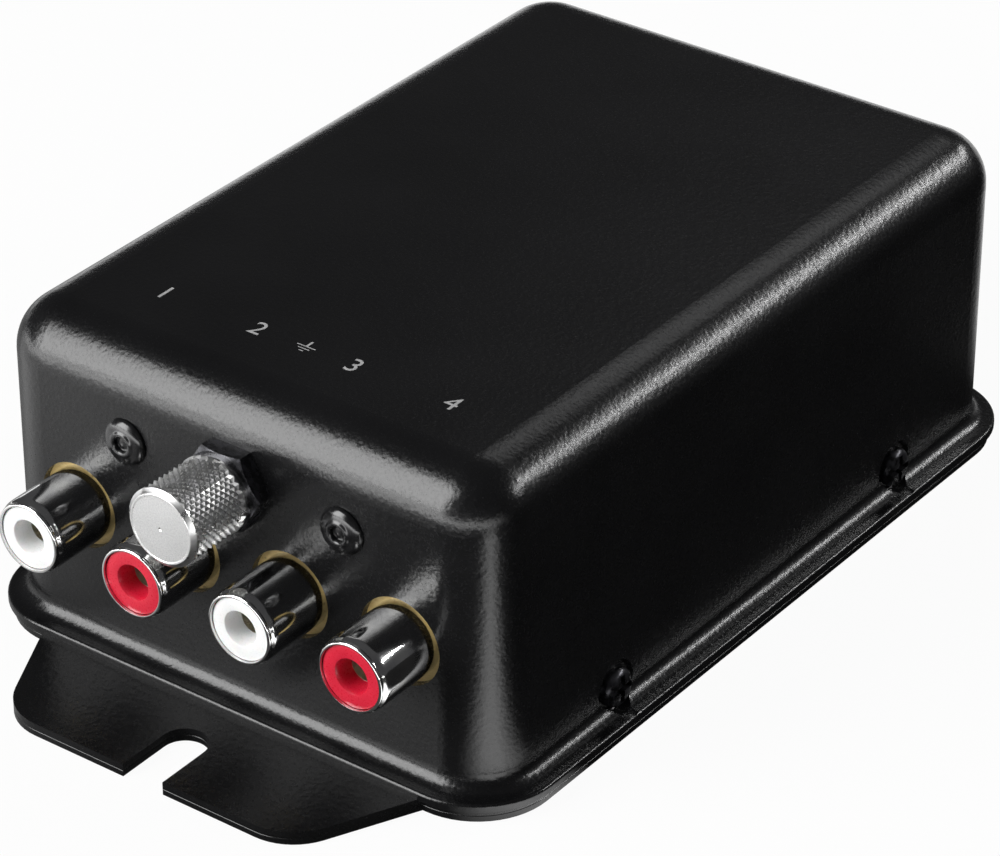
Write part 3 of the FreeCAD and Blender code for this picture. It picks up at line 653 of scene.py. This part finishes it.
class PREAMP_OT_thumb_nut(bpy.types.Operator):
    """Model the thumb nut: diamond knurl, chamfers, turned face and plain bore"""
    bl_idname = "preamp.thumb_nut"
    bl_label = "Thumb nut"

    def execute(self, context):
        sizes = context.scene.preamp_sizes
        low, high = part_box("thumb_nut")
        radius = (high[0] - low[0]) / 2
        length = high[1] - low[1]
        face_radius = radius * 0.88
        chamfer = 0.45 * MM
        knurl = length - 2 * chamfer
        deselect()
        bpy.ops.mesh.primitive_cylinder_add(vertices=sizes.knurl_columns, radius=radius, depth=knurl,
                                            location=(0, 0, length / 2), end_fill_type="NOTHING")
        nut = active("knurled_thumb_nut")
        settle()
        bpy.ops.object.mode_set(mode="EDIT")
        pick("EDGE", lambda edge: abs(edge.verts[0].co.z - edge.verts[1].co.z) > knurl / 2)
        bpy.ops.mesh.subdivide(number_cuts=sizes.knurl_rows * 2 - 1)
        row_step = knurl / (sizes.knurl_rows * 2)
        column_step = math.tau / sizes.knurl_columns

        def in_groove(vert):
            row = round((vert.co.z - chamfer) / row_step)
            column = round(math.atan2(vert.co.y, vert.co.x) / column_step)
            return 0 < row < sizes.knurl_rows * 2 and (row + column) % 2 == 1

        pick("VERT", in_groove)
        groove = (radius - sizes.knurl_depth) / radius
        bpy.ops.transform.resize(value=(groove, groove, 1), center_override=(0, 0, 0))
        bpy.ops.mesh.select_mode(type="FACE")
        bpy.ops.mesh.select_all(action="SELECT")
        bpy.ops.mesh.quads_convert_to_tris(quad_method="SHORTEST_DIAGONAL")
        front = chamfer + knurl

        def at_front(edge):
            return min(vert.co.z for vert in edge.verts) > front - 1e-6

        def at_back(edge):
            return max(vert.co.z for vert in edge.verts) < chamfer + 1e-6

        pick("EDGE", at_front)
        grow_ring(chamfer * 0.72, face_radius / radius * 1.03, (0, 0, front))
        grow_ring(chamfer * 0.20, 0.985, (0, 0, front))
        grow_ring(chamfer * 0.08, 0.985, (0, 0, front))
        grow_ring(0, 0.955, (0, 0, front))
        grow_ring(-0.03 * MM, 0.985, (0, 0, front))
        grow_ring(0, 0.55, (0, 0, front))
        grow_ring(0, 0.12, (0, 0, front))
        grow_ring(-0.06 * MM, 0.4, (0, 0, front))
        bpy.ops.mesh.edge_face_add()
        pick("EDGE", at_back)
        grow_ring(-chamfer, face_radius / radius, (0, 0, 0))
        bore, bore_depth = 2.06 * MM, 7.2 * MM
        grow_ring(0, bore / face_radius, (0, 0, 0))
        grow_ring(bore_depth, 1, (0, 0, 0))
        bpy.ops.mesh.edge_face_add()
        bpy.ops.mesh.select_all(action="SELECT")
        bpy.ops.mesh.remove_doubles(threshold=1e-7)
        bpy.ops.mesh.normals_make_consistent(inside=False)
        bpy.ops.object.mode_set(mode="OBJECT")
        shade(22)
        centre = middle("thumb_nut")
        aim(nut, Vector((centre.x, high[1], centre.z)), (0, -1, 0))
        plating = bright_plate("plated knurl", "EDEDEB", 0.30, 1.2)
        fit_piece(nut, "thumb_nut", "bright_chrome", plating, "thumb_nut")
        nut.data.materials.append(faced_plate("turned plated face", centre))
        for face in nut.data.polygons:
            is_front = face.normal.y < -0.95 and face.center.y < low[1] + 0.2 * MM
            face.material_index = 1 if is_front else 0
        return {"FINISHED"}


class PREAMP_OT_stud(bpy.types.Operator):
    """Model the threaded ground stud"""
    bl_idname = "preamp.stud"
    bl_label = "Ground stud"

    def execute(self, context):
        sizes = context.scene.preamp_sizes
        low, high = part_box("ground_stud")
        radius = (high[0] - low[0]) / 2
        length = high[1] - low[1]
        pitch = sizes.thread_pitch
        root = radius - pitch * 0.42
        profile = [(0, 0), (root, 0)]
        turns = int(length / pitch)
        for turn in range(turns):
            start = turn * pitch
            profile += [(root, start + pitch * 0.18), (radius, start + pitch * 0.56),
                        (radius, start + pitch * 0.66), (root, start + pitch * 0.98)]
        profile += [(root, length), (0, length)]
        stud = turned("threaded_stud", profile, 40)
        aim(stud, Vector((middle("ground_stud").x, low[1], middle("ground_stud").z)), (0, 1, 0))
        fit_piece(stud, "enclosure", "plated_steel", shared(zinc_plate, "zinc plated thread"), "ground_stud")
        dress("ground_hex_nut", dark_plate("black nickel nut", "343436", 0.26))
        dress("clamp_washer", shared(bright_plate, "bright plated washer", "D6D6D4", 0.14))
        dress("ground_inner_nut", shared(zinc_plate, "zinc plated nut"))
        dress("ground_tag", shared(yellow_metal, "tinned brass tag", "C2BCA8", True))
        return {"FINISHED"}


# Printing

class PREAMP_OT_numbers(bpy.types.Operator):
    """Print plain numbers over the sockets"""
    bl_idname = "preamp.numbers"
    bl_label = "Numbers"

    def execute(self, context):
        sizes = context.scene.preamp_sizes
        ink = printing_ink("screen printed ink", context.scene.preamp_colours.ink)
        top = cad_box[1][2]
        middle_height = top + sizes.print_thickness / 2
        line = -sizes.number_line
        font_share = 1.37
        for number in SOCKETS:
            deselect()
            bpy.ops.object.text_add(location=(0, 0, 0))
            letter = bpy.context.object
            letter.data.body = str(number)
            letter.data.size = sizes.number_height * font_share
            letter.data.align_x = "CENTER"
            letter.data.extrude = sizes.print_thickness / 2
            letter.data.resolution_u = 6
            bpy.ops.object.convert(target="MESH")
            piece = active("number_%d" % number)
            x = middle("jack_shell_%d" % number).x * sizes.number_spread
            piece.data.transform(Matrix.Translation((x, line, middle_height)))
            fit_piece(piece, "enclosure", "black_powder_coat", ink)
        symbol_line = line + MM
        bars = ((0.75, 0.26, 1.0), (0.20, 2.30, 0.13), (-0.25, 1.40, 0.13), (-0.70, 0.56, 0.13))
        strokes = []
        for y, width, height in bars:
            deselect()
            bpy.ops.mesh.primitive_cube_add(size=1, location=(0, symbol_line + y * MM, middle_height))
            stroke = active("earth_stroke")
            bpy.ops.transform.resize(value=(width * MM, height * MM, sizes.print_thickness))
            settle()
            strokes.append(stroke)
        for stroke in strokes:
            stroke.select_set(True)
        bpy.ops.object.join()
        fit_piece(active("earth_symbol"), "enclosure", "black_powder_coat", ink)
        return {"FINISHED"}


# Circuit board and inlet

class PREAMP_OT_electronics(bpy.types.Operator):
    """Finish the circuit board, what is soldered on it, the wires and the inlet"""
    bl_idname = "preamp.electronics"
    bl_label = "Electronics"

    def execute(self, context):
        dress("circuit_board", solder_mask("green solder mask"))
        dress("board_pillars", yellow_metal("turned brass pillar"))
        dress("board_screws", shared(zinc_plate, "zinc plated screw"))
        black = moulded_plastic("black moulded epoxy", "1B1B1C", "222223", 0.5, 0.5)
        for node in ("amplifier_chip", "regulator"):
            dress(node, black)
        film = moulded_plastic("red dipped film", "9E2A1C", "8A2016", 0.2, 1.0)
        bands = ("7A3B12", "15110E", "C8321E", "B08A2A")
        white_vinyl = ("white vinyl", "E4E3DE", "D2D0C8")
        red_vinyl = ("red vinyl", "B01F22", "981A1C")
        for number in SOCKETS:
            can = "electrolytic_%d" % number
            dress(can, shared(striped_sleeve, "blue capacitor sleeve", "1B2450", "BFC4CC", can))
            dress("film_capacitor_%d" % number, film)
        for number in range(1, 7):
            node = "resistor_%d" % number
            dress(node, shared(banded_lacquer, "banded lacquer", node, bands))
        for number in SOCKETS:
            is_white = number % 2 == 1
            vinyl = white_vinyl if is_white else red_vinyl
            dress("signal_wire_%d" % number, shared(wire_sleeve, *vinyl))
        dress("ground_wire", wire_sleeve("green vinyl", "1F6B35", "185A2B"))
        dress("power_wire_left", shared(wire_sleeve, *red_vinyl))
        dress("power_wire_right", wire_sleeve("black vinyl", "1A1A1A", "242424"))
        dress("inlet_housing", moulded_plastic("black moulded nylon", "18181A", "202022", 0.38, 0.6))
        dress("inlet_pin", shared(bright_plate, "bright plated pin", "D2D2D0", 0.16))
        dress("inlet_nut", shared(zinc_plate, "zinc plated nut"))
        return {"FINISHED"}


# Stage

def white_floor():
    """Pale floor: white to the camera with a faint shadow. To glossy rays alone it glows in patches that
    paint highlights and reflections into the gloss of the case.

    To glossy rays it is mostly dark, with painted glow at the left, far ahead, behind and in a line by the
    near corner, which paints highlights on the case's front, flare and near corner."""
    white_share = 0.95
    corner_line = (0.51, 0.86, 0.0)
    corner_distance = 0.0232
    surface = bpy.data.materials.new("pale floor with painted reflections")
    surface.use_nodes = True
    tree = surface.node_tree
    tree.nodes.clear()
    rays = add(tree, "ShaderNodeLightPath")
    matt = add(tree, "ShaderNodeBsdfDiffuse", {"Color": (0.8, 0.8, 0.8, 1.0)}).outputs["BSDF"]
    white = add(tree, "ShaderNodeEmission", {"Strength": 1.0}).outputs["Emission"]
    place = add(tree, "ShaderNodeTexCoord").outputs["Object"]
    axes = add(tree, "ShaderNodeSeparateXYZ", {"Vector": place}).outputs
    # Painted reflection: glow of up to 1.25 at the left, near the front, seen only in the gloss of the case.
    left = add(tree, RANGE, between(axes["X"], -0.075, -0.002, 1.25, 0.07)).outputs["Result"]
    ahead = add(tree, RANGE, between(axes["Y"], -0.055, -0.035, 1.0, 0.25)).outputs["Result"]
    near = add(tree, MATH, {0: left, 1: ahead}, operation="MULTIPLY").outputs[0]
    # Painted highlight: glow of up to 6 far ahead, seen as the bright band on the front of the case.
    far = add(tree, RANGE, between(axes["Y"], -0.26, -0.16, 6.0, 0.0)).outputs["Result"]
    # Painted highlight: a line glowing at up to 3.2 beyond the near corner, seen as the corner's highlight.
    across = add(tree, "ShaderNodeVectorMath", {0: place, 1: corner_line},
                 operation="DOT_PRODUCT").outputs["Value"]
    off = add(tree, MATH, {0: across, 1: corner_distance}, operation="ADD").outputs[0]
    side = add(tree, MATH, {0: off}, operation="ABSOLUTE").outputs[0]
    painted_corner_highlight = add(tree, RANGE, between(side, 0.003, 0.012, 3.2, 0.0)).outputs["Result"]
    beyond = add(tree, RANGE, between(axes["X"], 0.028, 0.036)).outputs["Result"]
    line = add(tree, MATH, {0: painted_corner_highlight, 1: beyond}, operation="MULTIPLY").outputs[0]
    pair = add(tree, MATH, {0: near, 1: line}, operation="ADD").outputs[0]
    # Painted reflection: glow of 1 behind the case.
    behind = add(tree, RANGE, between(axes["Y"], 0.055, 0.07)).outputs["Result"]
    inward = add(tree, RANGE, between(axes["X"], 0.02, 0.045, 1.0, 0.0)).outputs["Result"]
    rear = add(tree, MATH, {0: behind, 1: inward}, operation="MULTIPLY").outputs[0]
    rest = add(tree, MATH, {0: far, 1: rear}, operation="ADD").outputs[0]
    painted_reflection_strength = add(tree, MATH, {0: pair, 1: rest}, operation="ADD").outputs[0]
    # Emission seen by glossy rays only: the painted highlights and reflections in the case, not a lamp.
    painted_reflections = add(tree, "ShaderNodeEmission", {"Strength": painted_reflection_strength}).outputs["Emission"]
    seen = add(tree, MATH,
               {0: rays.outputs["Is Camera Ray"], 1: rays.outputs["Is Transmission Ray"]},
               operation="MAXIMUM").outputs[0]
    share = add(tree, MATH, {0: seen, 1: white_share}, operation="MULTIPLY").outputs[0]
    front = add(tree, "ShaderNodeMixShader", {0: share, 1: matt, 2: white}).outputs[0]
    whole = add(tree, "ShaderNodeMixShader",
                {0: rays.outputs["Is Glossy Ray"], 1: front, 2: painted_reflections}).outputs[0]
    add(tree, "ShaderNodeOutputMaterial", {"Surface": whole})
    return surface


def soft_lamp(name, place, target, width, height, power):
    """Soft box that faces a target."""
    lamp = bpy.data.lights.new(name, "AREA")
    lamp.shape = "RECTANGLE"
    lamp.size = width
    lamp.size_y = height
    lamp.energy = power
    holder = bpy.data.objects.new(name, lamp)
    bpy.context.scene.collection.objects.link(holder)
    holder.location = place
    holder.rotation_euler = (Vector(target) - Vector(place)).to_track_quat("-Z", "Y").to_euler()


class PREAMP_OT_stage(bpy.types.Operator):
    """Set up the floor, the lamps, the world and the camera"""
    bl_idname = "preamp.stage"
    bl_label = "Studio"

    def execute(self, context):
        settings = context.scene.preamp_stage
        deselect()
        bpy.ops.mesh.primitive_grid_add(x_subdivisions=4, y_subdivisions=4, size=8.0,
                                        location=(0, 0, -0.02 * MM))
        floor = active("studio_floor")
        settle()
        floor.data.materials.append(white_floor())
        soft_lamp("front soft box", (-0.377, -0.614, 0.370), (0, -0.045, 0.035), 0.45, 0.66, 9.0)
        soft_lamp("rear strip", (0.37, 0.50, 0.36), (0.03, 0, 0.035), 0.60, 0.018, 2.4)
        soft_lamp("rear soft box", (-0.09, 0.43, 0.46), (0, 0, 0.035), 0.30, 0.14, 0.16)
        world = bpy.data.worlds.new("studio")
        context.scene.world = world
        world.use_nodes = True
        world.node_tree.nodes["Background"].inputs["Color"].default_value = (0.07, 0.07, 0.072, 1.0)
        camera = bpy.data.objects.new("camera", bpy.data.cameras.new("camera"))
        context.scene.collection.objects.link(camera)
        camera.data.lens = settings.lens
        camera.data.sensor_width = 36
        camera.location = settings.eye
        camera.rotation_euler = (math.pi / 2 - settings.pitch, 0, settings.azimuth)
        context.scene.camera = camera
        context.scene.view_settings.view_transform = "Standard"
        return {"FINISHED"}


# Panel and registration

OPERATORS = (PREAMP_OT_case, PREAMP_OT_rivets, PREAMP_OT_barrels, PREAMP_OT_insulators,
             PREAMP_OT_thumb_nut, PREAMP_OT_stud, PREAMP_OT_numbers, PREAMP_OT_electronics,
             PREAMP_OT_stage)


class PREAMP_PT_panel(bpy.types.Panel):
    """Sizes, colours and steps of the phono preamp"""
    bl_label = "Phono preamp"
    bl_idname = "PREAMP_PT_panel"
    bl_space_type = "VIEW_3D"
    bl_region_type = "UI"
    bl_category = "Preamp"

    def draw(self, context):
        for group in (context.scene.preamp_sizes, context.scene.preamp_colours, context.scene.preamp_stage):
            box = self.layout.box()
            for name in group.__annotations__:
                box.prop(group, name)
        for operator in OPERATORS:
            self.layout.operator(operator.bl_idname)


CLASSES = (PreampSizes, PreampColours, PreampStage, *OPERATORS, PREAMP_PT_panel)


def register():
    """Register every class and hang the settings on the scene."""
    for item in CLASSES:
        bpy.utils.register_class(item)
    bpy.types.Scene.preamp_sizes = PointerProperty(type=PreampSizes)
    bpy.types.Scene.preamp_colours = PointerProperty(type=PreampColours)
    bpy.types.Scene.preamp_stage = PointerProperty(type=PreampStage)


def unregister():
    """Remove the settings and every class."""
    del bpy.types.Scene.preamp_stage
    del bpy.types.Scene.preamp_colours
    del bpy.types.Scene.preamp_sizes
    for item in reversed(CLASSES):
        bpy.utils.unregister_class(item)


def main():
    """Build every piece in order."""
    register()
    bpy.ops.preamp.case()
    bpy.ops.preamp.rivets()
    bpy.ops.preamp.barrels()
    bpy.ops.preamp.insulators()
    bpy.ops.preamp.thumb_nut()
    bpy.ops.preamp.stud()
    bpy.ops.preamp.numbers()
    bpy.ops.preamp.electronics()
    bpy.ops.preamp.stage()


if __name__ == "__main__":
    main()
